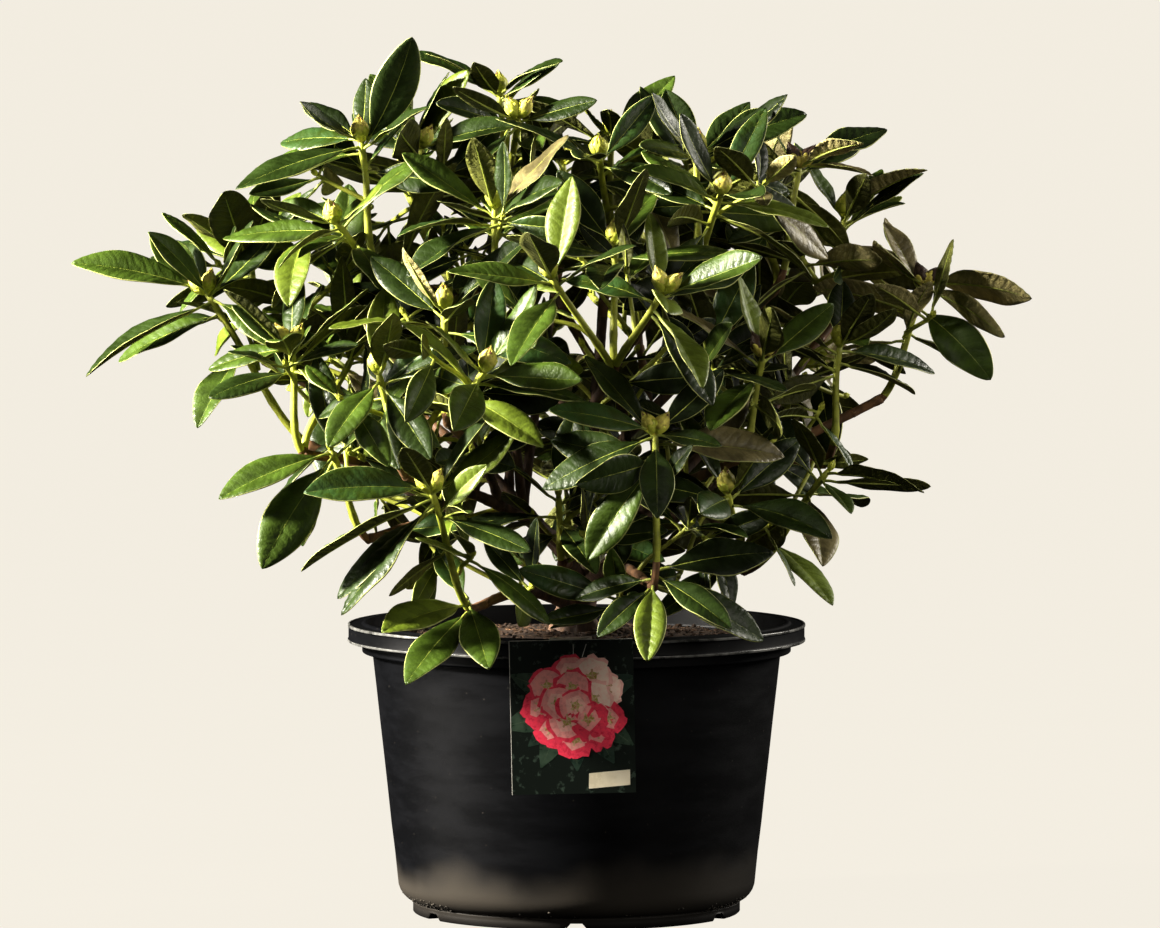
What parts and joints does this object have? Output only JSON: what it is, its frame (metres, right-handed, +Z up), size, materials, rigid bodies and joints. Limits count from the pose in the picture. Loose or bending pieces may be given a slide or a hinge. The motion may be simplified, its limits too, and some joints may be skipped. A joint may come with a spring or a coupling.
{
  "type": "potted rhododendron shrub",
  "caption": "Evergreen rhododendron with pointed flower buds in a round black nursery pot, with a picture tag on the rim.",
  "frame": {"origin": "centre of the pot's flat underside", "axes": "+Z up along the pot's axis, -Y towards the front where the tag hangs, +X to the right as seen from the front"},
  "size_m": [0.7898, 0.6569, 0.7259],
  "materials": {
    "pot_plastic": "black moulded polypropylene, slightly scuffed",
    "soil": "damp peat and bark crumbs",
    "tag_card": "printed plastic card",
    "bark": "thin grey-brown bark",
    "foliage": "leathery leaves with a soft gloss"
  },
  "bodies": {
    "root": {"pot": "pot_plastic", "soil": "soil", "tag": "tag_card", "trunk": "bark", "bough_left_far": "bark", "bough_left_front": "bark", "bough_front_left": "bark", "bough_front_right": "bark", "bough_right_front": "bark", "bough_right_far": "bark", "bough_back_right": "bark", "bough_back_left": "bark", "bough_crown": "bark", "bough_left_high": "bark", "bough_left_mid": "bark", "bough_left_low": "bark", "bough_left_inner": "bark", "bough_upper_left": "bark", "bough_mid_front": "bark", "bough_right_low": "bark", "bough_right_mid": "bark", "bough_right_high": "bark", "bough_top_left": "bark", "bough_top_left_outer": "bark", "bough_top_right": "bark", "bough_right_top": "bark", "bough_top_back": "bark", "bough_back_low": "bark", "bough_back_mid": "bark", "bough_back_far_left": "bark", "bough_back_top": "bark", "bough_inner_front": "bark", "mass_left_far": "foliage", "mass_left_front": "foliage", "mass_front_left": "foliage", "mass_front_right": "foliage", "mass_right_front": "foliage", "mass_right_far": "foliage", "mass_back_right": "foliage", "mass_back_left": "foliage", "mass_crown": "foliage", "mass_left_high": "foliage", "mass_left_mid": "foliage", "mass_left_low": "foliage", "mass_left_inner": "foliage", "mass_upper_left": "foliage", "mass_mid_front": "foliage", "mass_right_low": "foliage", "mass_right_mid": "foliage", "mass_right_high": "foliage", "mass_top_left": "foliage", "mass_top_left_outer": "foliage", "mass_top_right": "foliage", "mass_right_top": "foliage", "mass_top_back": "foliage", "mass_back_low": "foliage", "mass_back_mid": "foliage", "mass_back_far_left": "foliage", "mass_back_top": "foliage", "mass_inner_front": "foliage"}
  },
  "joints": []
}
